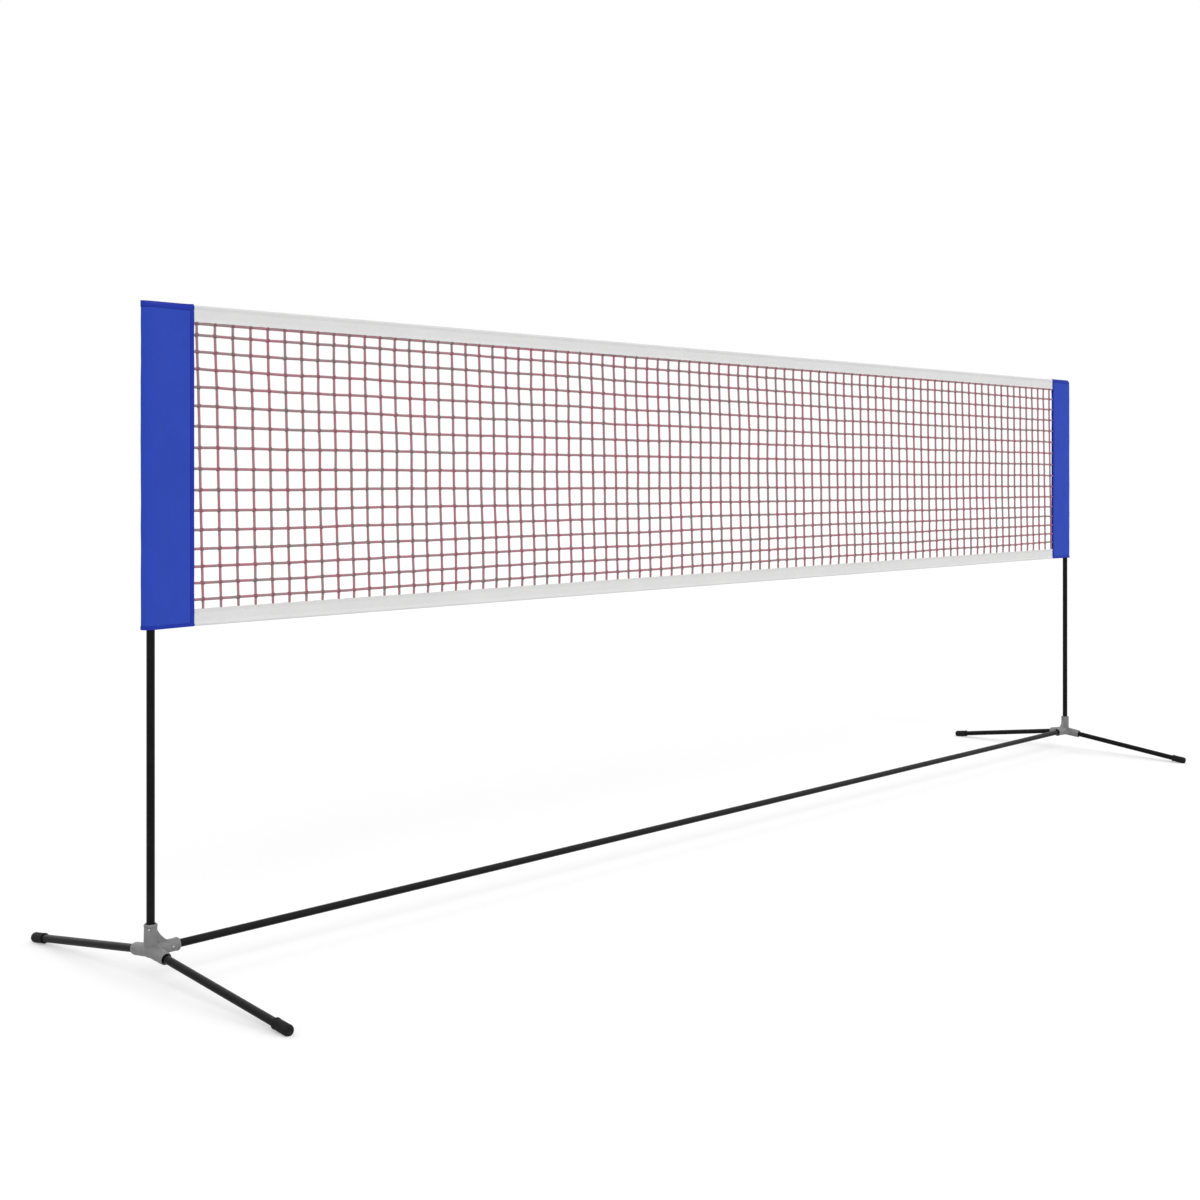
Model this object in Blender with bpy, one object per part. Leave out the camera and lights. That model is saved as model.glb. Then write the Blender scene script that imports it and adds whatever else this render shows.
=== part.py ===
"""Portable sports net: a blue-sleeved net on two telescopic poles and a plug-together tube base.

World frame: X runs along the net, Y across it, Z up from the floor, with the origin on the
floor midway between the poles. The two ends are the same parts, turned half round about Z.
"""
import math

import bmesh
import bpy
from mathutils import Matrix, Vector

# Overall sizes, in metres
POLE_SPACING = 4.40
NET_TOP = 1.55
NET_DEPTH = 0.745
BASE_WIDTH = 1.04
JUNCTION_HEIGHT = 0.078
GAP = 0.0003

# Steel tube: base bar, legs and lower poles share one size, and the upper poles slide inside
TUBE_RADIUS = 0.0095
TUBE_WALL = 0.0010
UPPER_RADIUS = 0.0080
SWAGE_RADIUS = 0.0082
SWAGE_LENGTH = 0.050
SWAGE_SHOULDER = 0.003
BAR_SECTIONS = 4

# Telescopic pole heights above the floor
LOWER_POLE_TOP = 0.832
UPPER_POLE_BOTTOM = 0.737
UPPER_POLE_TOP = NET_TOP - 0.0105
LOCK_BOTTOM = 0.812
LOCK_TOP = 0.860
LOCK_FLANGE = 0.007
LOCK_TAPER = 0.006
LOCK_RADIUS = 0.0116
LOCK_FLANGE_RADIUS = 0.0134
COLLAR_RADIUS = 0.0138
COLLAR_TOP = 0.868
GRIP_RIB = 0.0005
BUSH_FLANGE = 0.004
BUSH_STEM = 0.020
CAP_STEM = 0.020

# Moulded four-way connector, measured from the point where its four sockets meet
POLE_SOCKET = 0.060
BAR_SOCKET = 0.072
LEG_SOCKET = 0.064
POLE_SEAT = 0.014
BAR_SEAT = 0.022
SOCKET_ROOT_RADIUS = 0.0158
SOCKET_MOUTH_RADIUS = 0.0148
SOCKET_BORE = TUBE_RADIUS + GAP
FLARE_RADIUS = 0.0124
FLARE_DEPTH = 0.007
HUB_RADIUS = 0.0175
MOUTH_BEAD = 0.0012
MOUTH_BEAD_LENGTH = 0.007
WEB_THICKNESS = 0.012
WEB_HOLLOW = 0.0035
POLE_WEB_REACH = 0.045
LEG_WEB_REACH = 0.036

# Sprung snap buttons
BUTTON_RADIUS = 0.0032
BUTTON_LEAF = 0.0008
BUTTON_TAIL = 0.021
SOCKET_BUTTON_TOP = 0.0168
JOINT_BUTTON_TOP = 0.0111
POLE_BUTTON_HEIGHT = 0.049
BAR_BUTTON_REACH = 0.050
JOINT_BUTTON_REACH = 0.025

# Rubber foot caps: the leg's axis is at this height above the middle of the part that stands
FOOT_AXIS_HEIGHT = 0.0116
FOOT_CONTACT_INSET = 0.014
FOOT_RADIUS = 0.0126
FOOT_LENGTH = 0.052
FOOT_END_WALL = 0.010

# Net: sleeves round the poles, hems along both edges and the mesh between
SLEEVE_WIDTH = 0.138
SLEEVE_FOLD_REACH = 0.0238
SLEEVE_HALF_DEPTH = 0.0165
SLEEVE_HALF_SEAM = 0.0021
SLEEVE_WALL = 0.0017
SLEEVE_SHOULDER = 0.024
SLEEVE_CLOSED_TOP = 0.005
SLEEVE_TOP_HALF_EDGE = 0.0010
POCKET_INWARD = 0.085
POCKET_TIP = 0.004
TOP_HEM = 0.014
SIDE_HEM = 0.012
MOUTH_HEM = 0.009
HEM_PROUD = 0.0006
BAND_WIDTH = 0.040
BAND_CORD_RADIUS = 0.0025
BAND_ROUND_RADIUS = 0.0040
BAND_HALF_THICKNESS = 0.0014
BAND_BLEND = 0.012
MESH_COLUMNS = 42
MESH_ROWS = 7
STRAND_THICKNESS = 0.0040

# Faceting
TUBE_SIDES = 24
FOOT_SIDES = 20
SMALL_SIDES = 16
SHARP_ANGLE = math.radians(35)
MERGE = 0.00001

# Colour, roughness and metallic value of each finish
FINISHES = {
    "black_powder_coat": ((0.018, 0.018, 0.020), 0.38, 0.0),
    "grey_moulding": ((0.215, 0.215, 0.218), 0.50, 0.0),
    "black_moulding": ((0.022, 0.022, 0.024), 0.55, 0.0),
    "black_rubber": ((0.012, 0.012, 0.012), 0.75, 0.0),
    "zinc_plate": ((0.55, 0.55, 0.56), 0.30, 1.0),
    "blue_fabric": ((0.034, 0.072, 0.450), 0.85, 0.0),
    "white_fabric": ((0.72, 0.72, 0.72), 0.90, 0.0),
    "white_cord": ((0.70, 0.70, 0.68), 0.90, 0.0),
    "maroon_twine": ((0.180, 0.070, 0.085), 0.90, 0.0),
}

NET_BOTTOM = NET_TOP - NET_DEPTH
LEG_ANGLE = math.atan2(JUNCTION_HEIGHT - FOOT_AXIS_HEIGHT, BASE_WIDTH / 2 - FOOT_CONTACT_INSET)
LEG_END = BASE_WIDTH / 2 / math.cos(LEG_ANGLE)
BAR_START = BAR_SEAT + GAP - POLE_SPACING / 2
BAR_PITCH = -2 * BAR_START / BAR_SECTIONS
PANEL_END = SLEEVE_WIDTH - SLEEVE_FOLD_REACH
MESH_HALF_LENGTH = POLE_SPACING / 2 - PANEL_END - GAP


def clear_scene():
    """Remove whatever the file opened with."""
    for old in list(bpy.data.objects):
        bpy.data.objects.remove(old)


def mesh_from(name, bm):
    """Close the bmesh into a mesh with its faces outwards and its round sides smooth."""
    bmesh.ops.remove_doubles(bm, verts=bm.verts, dist=MERGE)
    bmesh.ops.recalc_face_normals(bm, faces=bm.faces)
    mesh = bpy.data.meshes.new(name)
    bm.to_mesh(mesh)
    bm.free()
    mesh.shade_smooth()
    mesh.set_sharp_from_angle(angle=SHARP_ANGLE)
    return mesh


def turned(name, outline, sides=TUBE_SIDES, hollow=False):
    """Turn (radius, height) points about Z. A hollow outline is a closed ring clear of the axis."""
    bm = bmesh.new()
    points = [bm.verts.new((radius, 0.0, height)) for radius, height in outline]
    edges = [bm.edges.new(pair) for pair in zip(points, points[1:])]
    if hollow:
        edges.append(bm.edges.new((points[-1], points[0])))
    bmesh.ops.spin(
        bm, geom=points + edges, cent=(0, 0, 0), axis=(0, 0, 1),
        angle=2 * math.pi, steps=sides, use_merge=True,
    )
    return mesh_from(name, bm)


def prism(name, outline, depth):
    """Extrude a flat XY outline by depth, half of it to each side."""
    bm = bmesh.new()
    face = bm.faces.new([bm.verts.new((x, y, -depth / 2)) for x, y in outline])
    extruded = bmesh.ops.extrude_face_region(bm, geom=[face])
    far_side = [item for item in extruded["geom"] if isinstance(item, bmesh.types.BMVert)]
    bmesh.ops.translate(bm, verts=far_side, vec=(0, 0, depth))
    return mesh_from(name, bm)


def moved(mesh, matrix):
    """Return the mesh after the matrix has moved it."""
    mesh.transform(matrix)
    return mesh


def aimed(direction):
    """Rotation that turns +Z to the direction and keeps +Y upwards."""
    return direction.to_track_quat("Z", "Y").to_matrix().to_4x4()


def combined(name, base, unions=(), cuts=()):
    """Add the unions to the base mesh, take the cuts away, and return the one mesh."""
    target = bpy.data.objects.new(name, base)
    bpy.context.scene.collection.objects.link(target)
    operands = []
    for operation, meshes in (("UNION", unions), ("DIFFERENCE", cuts)):
        for mesh in meshes:
            operand = bpy.data.objects.new(mesh.name, mesh)
            bpy.context.scene.collection.objects.link(operand)
            modifier = target.modifiers.new(mesh.name, "BOOLEAN")
            modifier.operation = operation
            modifier.solver = "EXACT"
            modifier.object = operand
            operands.append(operand)
    bpy.context.view_layer.update()
    bm = bmesh.new()
    bm.from_object(target, bpy.context.evaluated_depsgraph_get())
    for used in (target, *operands):
        bpy.data.objects.remove(used)
    return mesh_from(name, bm)


def add_node(name, mesh, finish, parent=None, location=(0, 0, 0), rotation=None):
    """Place a copy of a piece, with its own material, in the world or on a parent empty."""
    colour, roughness, metallic = FINISHES[finish]
    material = bpy.data.materials.new(f"{name}_{finish}")
    material.use_nodes = True
    shader = material.node_tree.nodes["Principled BSDF"]
    shader.inputs["Base Color"].default_value = (*colour, 1.0)
    shader.inputs["Roughness"].default_value = roughness
    shader.inputs["Metallic"].default_value = metallic
    node = bpy.data.objects.new(name, mesh)
    bpy.context.scene.collection.objects.link(node)
    if not mesh.materials:
        mesh.materials.append(None)
    node.material_slots[0].link = "OBJECT"
    node.material_slots[0].material = material
    node.parent = parent
    node.matrix_basis = Matrix.Translation(location) @ (rotation or Matrix.Identity(4))
    return node


def tube(name, start, end, radius=TUBE_RADIUS):
    """A plain open tube along Z."""
    inner = radius - TUBE_WALL
    return turned(name, [(inner, start), (radius, start), (radius, end), (inner, end)], hollow=True)


def button_hole(name, frame):
    """Cutter for one wall of a tube or socket, from just off its axis outwards."""
    radius = BUTTON_RADIUS + GAP
    near = TUBE_RADIUS / 2
    far = 2 * SOCKET_ROOT_RADIUS
    outline = [(0, near), (radius, near), (radius, far), (0, far)]
    return moved(turned(name, outline, SMALL_SIDES), frame)


def button_frame(position, tail, out):
    """Frame of a snap button: Z out through the tube's wall, X along its leaf."""
    axes = Matrix((tail, out.cross(tail), out)).transposed()
    return Matrix.Translation(position) @ axes.to_4x4()


def leg_direction(side):
    """Unit vector down a leg. Side is -1 for local -Y and 1 for local +Y."""
    return Vector((0, side * math.cos(LEG_ANGLE), -math.sin(LEG_ANGLE)))


def socket_body(name, length, bead, direction):
    """Outside of one socket: a slow taper, then a mouth that swells by the bead and rounds over."""
    steps = 4
    outline = [(0, 0), (SOCKET_ROOT_RADIUS, 0), (SOCKET_MOUTH_RADIUS, length - MOUTH_BEAD_LENGTH)]
    for step in range(1, steps + 1):
        share = step / steps
        swell = bead * math.sin(math.pi * share) - MOUTH_BEAD * share ** 3
        outline.append((SOCKET_MOUTH_RADIUS + swell, length - MOUTH_BEAD_LENGTH * (1 - share)))
    outline.append((0, length))
    return moved(turned(name, outline), aimed(direction))


def socket_bore(name, seat, length, direction):
    """Inside of one socket: a blind bore with a conical lead-in at the mouth."""
    throat = length - FLARE_DEPTH
    beyond = length + FLARE_DEPTH
    widest = 2 * FLARE_RADIUS - SOCKET_BORE
    outline = [(0, seat), (SOCKET_BORE, seat), (SOCKET_BORE, throat), (widest, beyond), (0, beyond)]
    return moved(turned(name, outline), aimed(direction))


def corner_web(name, reach, first, second):
    """Web in the corner of two sockets, its free edge a shallow arc sunk below its chord."""
    steps = 6
    start = SOCKET_MOUTH_RADIUS - MOUTH_BEAD
    half_chord = (reach - start) / math.sqrt(2)
    radius = (half_chord ** 2 + WEB_HOLLOW ** 2) / (2 * WEB_HOLLOW)
    half_angle = math.asin(half_chord / radius)
    centre = (reach + start) / 2 + (radius - WEB_HOLLOW) / math.sqrt(2)
    arc = []
    for step in range(steps + 1):
        angle = math.radians(225) + half_angle * (1 - 2 * step / steps)
        arc.append((centre + radius * math.cos(angle), centre + radius * math.sin(angle)))
    outline = [(0, 0), (reach, 0), *arc, (0, reach)]
    axes = Matrix((first, second, first.cross(second))).transposed()
    return moved(prism(name, outline, WEB_THICKNESS), axes.to_4x4())


def connector_mesh():
    """The grey moulding that joins a pole, the base bar and two legs."""
    bm = bmesh.new()
    bmesh.ops.create_uvsphere(bm, u_segments=TUBE_SIDES, v_segments=TUBE_SIDES // 2, radius=HUB_RADIUS)
    hub = mesh_from("hub", bm)
    legs = [leg_direction(side) for side in (-1, 1)]
    sockets = [
        ("pole", POLE_SEAT, POLE_SOCKET, MOUTH_BEAD, UP),
        ("bar", BAR_SEAT, BAR_SOCKET, MOUTH_BEAD, ALONG_BAR),
        ("near_leg", BAR_SEAT, LEG_SOCKET, 0, legs[0]),
        ("far_leg", BAR_SEAT, LEG_SOCKET, 0, legs[1]),
    ]
    bodies = [socket_body(f"{name}_socket", length, bead, way) for name, _, length, bead, way in sockets]
    bores = [socket_bore(f"{name}_bore", seat, length, way) for name, seat, length, _, way in sockets]
    webs = [corner_web("pole_web", POLE_WEB_REACH, ALONG_BAR, UP)]
    webs += [corner_web("leg_web", LEG_WEB_REACH, ALONG_BAR, leg) for leg in legs]
    holes = [button_hole("pole_button_hole", POLE_BUTTON), button_hole("bar_button_hole", BAR_BUTTON)]
    return combined("base_connector", hub, unions=bodies + webs, cuts=bores + holes)


def button_mesh(name, tube_inside, head_top):
    """Snap button: a domed head riveted to its spring leaf, all in one. Z is out, X along the leaf."""
    half_width = BUTTON_RADIUS
    corner = 0.0010
    nose = BUTTON_RADIUS + corner
    leaf_top = math.sqrt(tube_inside ** 2 - half_width ** 2) - GAP
    leaf = [
        (-nose, corner - half_width),
        (corner - nose, -half_width),
        (BUTTON_TAIL, -half_width),
        (BUTTON_TAIL, half_width),
        (corner - nose, half_width),
        (-nose, half_width - corner),
    ]
    strip = moved(prism("leaf", leaf, BUTTON_LEAF), Matrix.Translation((0, 0, leaf_top - BUTTON_LEAF / 2)))
    head_radius = BUTTON_RADIUS - 0.0002
    head = [
        (0, leaf_top - BUTTON_LEAF / 2),
        (head_radius, leaf_top - BUTTON_LEAF / 2),
        (head_radius, head_top - 0.0010),
        (head_radius * 0.8, head_top - 0.0003),
        (0, head_top),
    ]
    return combined(name, turned("head", head, SMALL_SIDES), unions=[strip])


def lower_pole_mesh():
    """Lower pole, from its seat in the connector up into the lock, with its button's hole."""
    plain = tube("pole_tube", POLE_SEAT + GAP, LOWER_POLE_TOP - JUNCTION_HEIGHT)
    return combined("lower_pole", plain, cuts=[button_hole("pole_hole", POLE_BUTTON)])


def bar_section_mesh(name, start_x, swaged_start, swaged_end, buttons):
    """Bar section along X. A swaged end is drawn in to plug into the next section."""
    length = BAR_PITCH - GAP
    inner = TUBE_RADIUS - TUBE_WALL
    swage_inner = SWAGE_RADIUS - TUBE_WALL
    outside = [(TUBE_RADIUS, 0), (TUBE_RADIUS, length)]
    inside = [(inner, 0), (inner, length)]
    if swaged_start:
        outside[:1] = [(SWAGE_RADIUS, -SWAGE_LENGTH), (SWAGE_RADIUS, 0), (TUBE_RADIUS, SWAGE_SHOULDER)]
        inside[:1] = [(swage_inner, -SWAGE_LENGTH), (swage_inner, 0), (inner, SWAGE_SHOULDER)]
    if swaged_end:
        shoulder = length - SWAGE_SHOULDER
        tip = length + SWAGE_LENGTH
        outside[-1:] = [(TUBE_RADIUS, shoulder), (SWAGE_RADIUS, length), (SWAGE_RADIUS, tip)]
        inside[-1:] = [(inner, shoulder), (swage_inner, length), (swage_inner, tip)]
    plain = moved(turned(name, outside + inside[::-1], hollow=True), aimed(ALONG_BAR))
    near = start_x - swaged_start * SWAGE_LENGTH
    far = start_x + length + swaged_end * SWAGE_LENGTH
    to_section = Matrix.Translation((-start_x, 0, 0))
    holes = []
    for button, frame in buttons.items():
        if near < frame.translation.x < far:
            holes.append(button_hole(f"{button}_hole", to_section @ frame))
    return combined(name, plain, cuts=holes)


def lock_body_mesh():
    """Fixed half of the twist lock: a cuff over the lower pole with four collet fingers on top."""
    outline = [
        (TUBE_RADIUS + GAP, LOCK_BOTTOM),
        (LOCK_FLANGE_RADIUS, LOCK_BOTTOM),
        (LOCK_FLANGE_RADIUS, LOCK_BOTTOM + LOCK_FLANGE),
        (LOCK_RADIUS, LOCK_BOTTOM + LOCK_FLANGE),
        (LOCK_RADIUS, LOCK_TOP - LOCK_TAPER),
        (LOCK_RADIUS - 0.0010, LOCK_TOP),
        (UPPER_RADIUS + GAP, LOCK_TOP),
        (UPPER_RADIUS + GAP, LOWER_POLE_TOP + GAP),
        (TUBE_RADIUS + GAP, LOWER_POLE_TOP + GAP),
    ]
    half_width = 0.0007
    half_length = 2 * LOCK_RADIUS
    depth = 0.014
    slot = [(-half_length, -half_width), (half_length, -half_width),
            (half_length, half_width), (-half_length, half_width)]
    lift = Matrix.Translation((0, 0, LOCK_TOP - depth / 2 + GAP))
    slots = []
    for quarter in (0, 1):
        turn = Matrix.Rotation(quarter * math.pi / 2, 4, "Z")
        slots.append(moved(prism(f"collet_slot_{quarter}", slot, depth), lift @ turn))
    return combined("pole_lock", turned("lock_cuff", outline, hollow=True), cuts=slots)


def lock_collar_mesh():
    """Turning half of the twist lock: a thin nut with raised grip ribs."""
    inner = LOCK_RADIUS + GAP
    outline = [
        (inner, LOCK_BOTTOM + LOCK_FLANGE + GAP),
        (COLLAR_RADIUS, LOCK_BOTTOM + LOCK_FLANGE + GAP),
        (COLLAR_RADIUS, COLLAR_TOP - 0.002),
        (COLLAR_RADIUS - 0.0015, COLLAR_TOP),
        (UPPER_RADIUS + GAP, COLLAR_TOP),
        (UPPER_RADIUS + GAP, LOCK_TOP + GAP),
        (inner - 0.0010, LOCK_TOP + GAP),
        (inner, LOCK_TOP - LOCK_TAPER + GAP),
    ]
    bm = bmesh.new()
    bm.from_mesh(turned("plain_collar", outline, hollow=True))
    grips = []
    for face in bm.faces:
        middle = face.calc_center_median()
        sector = math.floor(math.atan2(middle.y, middle.x) / (2 * math.pi) * TUBE_SIDES)
        outward = abs(face.normal.z) < 0.01 and middle.xy.dot(face.normal.xy) > COLLAR_RADIUS / 2
        if outward and sector % 2 == 0:
            grips.append(face)
    bmesh.ops.inset_individual(bm, faces=grips, thickness=GRIP_RIB, depth=GRIP_RIB)
    return mesh_from("lock_collar", bm)


def guide_bush_mesh():
    """Plug in the foot of the upper pole, with a flange that slides in the lower pole."""
    stem = UPPER_RADIUS - TUBE_WALL - GAP
    wall = 0.0020
    flange = TUBE_RADIUS - TUBE_WALL - GAP
    seat = UPPER_POLE_BOTTOM - GAP
    bottom = seat - BUSH_FLANGE
    chamfer = 0.0008
    outline = [
        (stem - wall, bottom),
        (flange - chamfer, bottom),
        (flange, bottom + chamfer),
        (flange, seat),
        (stem, seat),
        (stem, seat + BUSH_STEM),
        (stem - wall, seat + BUSH_STEM),
    ]
    return turned("guide_bush", outline, SMALL_SIDES, hollow=True)


def pole_cap_mesh():
    """Domed plug in the top of the upper pole, which the closed end of the sleeve sits on."""
    stem = UPPER_RADIUS - TUBE_WALL - GAP
    brim = UPPER_RADIUS + 0.0010
    seat = UPPER_POLE_TOP + GAP
    top = NET_TOP - SLEEVE_CLOSED_TOP - GAP
    outline = [
        (0, seat - CAP_STEM),
        (stem - 0.0010, seat - CAP_STEM),
        (stem, seat - CAP_STEM + 0.0020),
        (stem, seat),
        (brim, seat),
        (brim, seat + 0.0018),
        (brim * 0.85, top - 0.0010),
        (brim * 0.50, top),
        (0, top),
    ]
    return turned("pole_cap", outline, SMALL_SIDES)


def foot_cap_mesh():
    """Rubber cap with a beaded mouth and a domed end, cut flat where it stands on the floor."""
    mouth = LEG_END - FOOT_LENGTH
    seat = LEG_END - FOOT_END_WALL + GAP
    bore = TUBE_RADIUS + GAP
    bead = 0.0004
    outline = [
        (0, LEG_END),
        (FOOT_RADIUS * 0.50, LEG_END - 0.0004),
        (FOOT_RADIUS * 0.78, LEG_END - 0.0018),
        (FOOT_RADIUS * 0.93, LEG_END - 0.0045),
        (FOOT_RADIUS, LEG_END - 0.0080),
        (FOOT_RADIUS - bead, mouth + 0.0045),
        (FOOT_RADIUS + bead, mouth + 0.0035),
        (FOOT_RADIUS + bead, mouth + 0.0010),
        (FOOT_RADIUS - bead, mouth),
        (bore, mouth),
        (bore, seat),
        (0, seat),
    ]
    bm = bmesh.new()
    bm.from_mesh(turned("round_cap", outline, FOOT_SIDES))
    to_leg = (Matrix.Translation((0, 0, JUNCTION_HEIGHT)) @ aimed(leg_direction(-1))).inverted()
    cut = bmesh.ops.bisect_plane(
        bm, geom=bm.verts[:] + bm.edges[:] + bm.faces[:], dist=MERGE, clear_outer=True,
        plane_co=to_leg.translation, plane_no=to_leg.to_3x3() @ -UP,
    )
    rim = [item for item in cut["geom_cut"] if isinstance(item, bmesh.types.BMEdge)]
    bmesh.ops.contextual_create(bm, geom=rim)
    return mesh_from("foot_cap", bm)


def sleeve_half_depth(x):
    """Half the sleeve's depth, tapering straight from the pole's axis to the inner seam."""
    return SLEEVE_HALF_SEAM + (SLEEVE_HALF_DEPTH - SLEEVE_HALF_SEAM) * (1 - x / PANEL_END)


def sleeve_shoulder(height):
    """How full the sleeve is at a height: it narrows over the pole's cap to its top seam."""
    climb = max(height - (NET_TOP - SLEEVE_SHOULDER), 0) / SLEEVE_SHOULDER
    return math.sqrt(1 - min(climb, 1) ** 2.4)


def fold_arc(reach, half_depth):
    """Outer edge of a sleeve in plan, bent round beyond the pole from one face to the other."""
    steps = 10
    angles = [math.pi * (0.5 + step / steps) for step in range(1, steps)]
    return [(reach * math.cos(angle), half_depth * math.sin(angle)) for angle in angles]


def sleeve_outline(proud, fullness):
    """Plan of a sleeve: the fold, two faces that run in to the seam, and the hem along the seam."""
    hem_start = PANEL_END - SIDE_HEM
    face = [
        (PANEL_END, SLEEVE_HALF_SEAM + HEM_PROUD),
        (hem_start, sleeve_half_depth(hem_start) + HEM_PROUD),
        (hem_start - HEM_PROUD, sleeve_half_depth(hem_start) + proud),
        (0, SLEEVE_HALF_DEPTH + proud),
    ]
    fold = fold_arc(SLEEVE_FOLD_REACH + proud, SLEEVE_HALF_DEPTH + proud)
    outline = face + fold + [(x, -y) for x, y in face[::-1]]
    edge = SLEEVE_TOP_HALF_EDGE
    return [(x, math.copysign(edge, y) * (1 - fullness) + y * fullness) for x, y in outline]


def pocket_outline(fullness):
    """Plan of the room inside a sleeve, a wall's thickness in from its faces and its fold."""
    inside = SLEEVE_HALF_DEPTH - SLEEVE_WALL
    face = [(POCKET_INWARD, sleeve_half_depth(POCKET_INWARD) - SLEEVE_WALL), (0, inside)]
    fold = fold_arc(SLEEVE_FOLD_REACH - SLEEVE_WALL, inside)
    outline = face + fold + [(x, -y) for x, y in face[::-1]] + [(POCKET_INWARD + POCKET_TIP, 0)]
    return [(x, y * fullness) for x, y in outline]


def stacked(name, levels):
    """Skin a stack of like outlines, each given with its height, and close both ends."""
    bm = bmesh.new()
    rings = []
    for height, outline in levels:
        ring = [bm.verts.new((x, y, height)) for x, y in outline]
        rings.append([bm.edges.new(pair) for pair in zip(ring, ring[1:] + ring[:1])])
    for lower, upper in zip(rings, rings[1:]):
        bmesh.ops.bridge_loops(bm, edges=lower + upper)
    for end in (rings[0], rings[-1]):
        bmesh.ops.contextual_create(bm, geom=end)
    return mesh_from(name, bm)


def sleeve_mesh():
    """Blue cloth sleeve: hemmed all round, closed over the pole's cap and open at the bottom."""
    shell_levels = [
        (NET_BOTTOM, HEM_PROUD),
        (NET_BOTTOM + MOUTH_HEM, HEM_PROUD),
        (NET_BOTTOM + MOUTH_HEM + HEM_PROUD, 0),
        (NET_TOP - SLEEVE_SHOULDER, 0),
        (NET_TOP - TOP_HEM - HEM_PROUD, 0),
        (NET_TOP - TOP_HEM, HEM_PROUD),
        (NET_TOP - TOP_HEM / 2, HEM_PROUD),
        (NET_TOP - TOP_HEM / 5, HEM_PROUD),
        (NET_TOP, HEM_PROUD),
    ]
    shell = stacked(
        "sleeve_shell",
        [(height, sleeve_outline(proud, sleeve_shoulder(height))) for height, proud in shell_levels],
    )
    ceiling = NET_TOP - SLEEVE_CLOSED_TOP
    pocket_levels = [
        NET_BOTTOM - SLEEVE_SHOULDER,
        NET_TOP - SLEEVE_SHOULDER,
        NET_TOP - TOP_HEM,
        (NET_TOP - TOP_HEM + ceiling) / 2,
        ceiling,
    ]
    pocket = stacked("pocket", [(height, pocket_outline(sleeve_shoulder(height))) for height in pocket_levels])
    return combined("sleeve", shell, cuts=[pocket])


def band_mesh():
    """Folded white tape along the mesh: round over its cord, flat below. Y is up in the outline."""
    round_steps = 8
    blend_steps = 4
    outer = []
    for step in range(round_steps + 1):
        angle = math.pi * step / round_steps
        outer.append((BAND_ROUND_RADIUS * math.cos(angle), BAND_ROUND_RADIUS * (math.sin(angle) - 1)))
    side = []
    for step in range(1, blend_steps + 1):
        swell = 0.5 + 0.5 * math.cos(math.pi * step / blend_steps)
        half = BAND_HALF_THICKNESS + (BAND_ROUND_RADIUS - BAND_HALF_THICKNESS) * swell
        side.append((-half, -BAND_ROUND_RADIUS - BAND_BLEND * step / blend_steps))
    side.append((-BAND_HALF_THICKNESS, -BAND_WIDTH))
    outline = outer + side + [(-x, y) for x, y in side[::-1]]
    tunnel_radius = BAND_CORD_RADIUS + GAP
    reach = 2 * MESH_HALF_LENGTH
    tunnel = turned("cord_tunnel", [(0, -reach), (tunnel_radius, -reach), (tunnel_radius, reach), (0, reach)],
                    SMALL_SIDES)
    lowered = Matrix.Translation((0, -BAND_ROUND_RADIUS, 0))
    return combined("band", prism("tape", outline, reach), cuts=[moved(tunnel, lowered)])


def cord_mesh():
    """Cord inside a band, with its ends just inside the tape."""
    half = MESH_HALF_LENGTH - 0.002
    return turned("band_cord", [(0, -half), (BAND_CORD_RADIUS, -half), (BAND_CORD_RADIUS, half), (0, half)],
                  SMALL_SIDES)


def end_pieces():
    """Meshes that both ends of the net share."""
    return {
        "connector": connector_mesh(),
        "lower_pole": lower_pole_mesh(),
        "lock": lock_body_mesh(),
        "collar": lock_collar_mesh(),
        "upper_pole": tube("upper_pole", UPPER_POLE_BOTTOM, UPPER_POLE_TOP, UPPER_RADIUS),
        "bush": guide_bush_mesh(),
        "pole_cap": pole_cap_mesh(),
        "leg": tube("leg", BAR_SEAT + GAP, LEG_END - FOOT_END_WALL),
        "foot_cap": foot_cap_mesh(),
        "button": button_mesh("socket_button", TUBE_RADIUS - TUBE_WALL, SOCKET_BUTTON_TOP),
        "sleeve": sleeve_mesh(),
    }


def add_button(name, mesh, frame, parent=None):
    """Place a snap button by its frame."""
    add_node(name, mesh, "zinc_plate", parent, frame.translation, frame.to_3x3().to_4x4())


def add_end(prefix, end_x, turn, leg_names, pieces):
    """One end of the base with its pole and sleeve, on an empty at the connector's junction."""
    junction = bpy.data.objects.new(f"{prefix}_end", None)
    bpy.context.scene.collection.objects.link(junction)
    junction.location = (end_x, 0, JUNCTION_HEIGHT)
    junction.rotation_euler = (0, 0, turn)
    floor = (0, 0, -JUNCTION_HEIGHT)
    add_node(f"{prefix}_base_connector", pieces["connector"], "grey_moulding", junction)
    add_node(f"{prefix}_lower_pole", pieces["lower_pole"], "black_powder_coat", junction)
    add_node(f"{prefix}_pole_lock", pieces["lock"], "black_moulding", junction, floor)
    add_node(f"{prefix}_lock_collar", pieces["collar"], "black_moulding", junction, floor)
    add_node(f"{prefix}_upper_pole", pieces["upper_pole"], "black_powder_coat", junction, floor)
    add_node(f"{prefix}_guide_bush", pieces["bush"], "black_moulding", junction, floor)
    add_node(f"{prefix}_pole_cap", pieces["pole_cap"], "black_moulding", junction, floor)
    add_node(f"{prefix}_sleeve", pieces["sleeve"], "blue_fabric", junction, floor)
    for name, side in zip(leg_names, (-1, 1)):
        aim = aimed(leg_direction(side))
        add_node(f"{prefix}_{name}_leg", pieces["leg"], "black_powder_coat", junction, rotation=aim)
        add_node(f"{prefix}_{name}_foot_cap", pieces["foot_cap"], "black_rubber", junction, rotation=aim)
    add_button(f"{prefix}_pole_button", pieces["button"], POLE_BUTTON, junction)
    add_button(f"{prefix}_bar_button", pieces["button"], BAR_BUTTON, junction)


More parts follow.
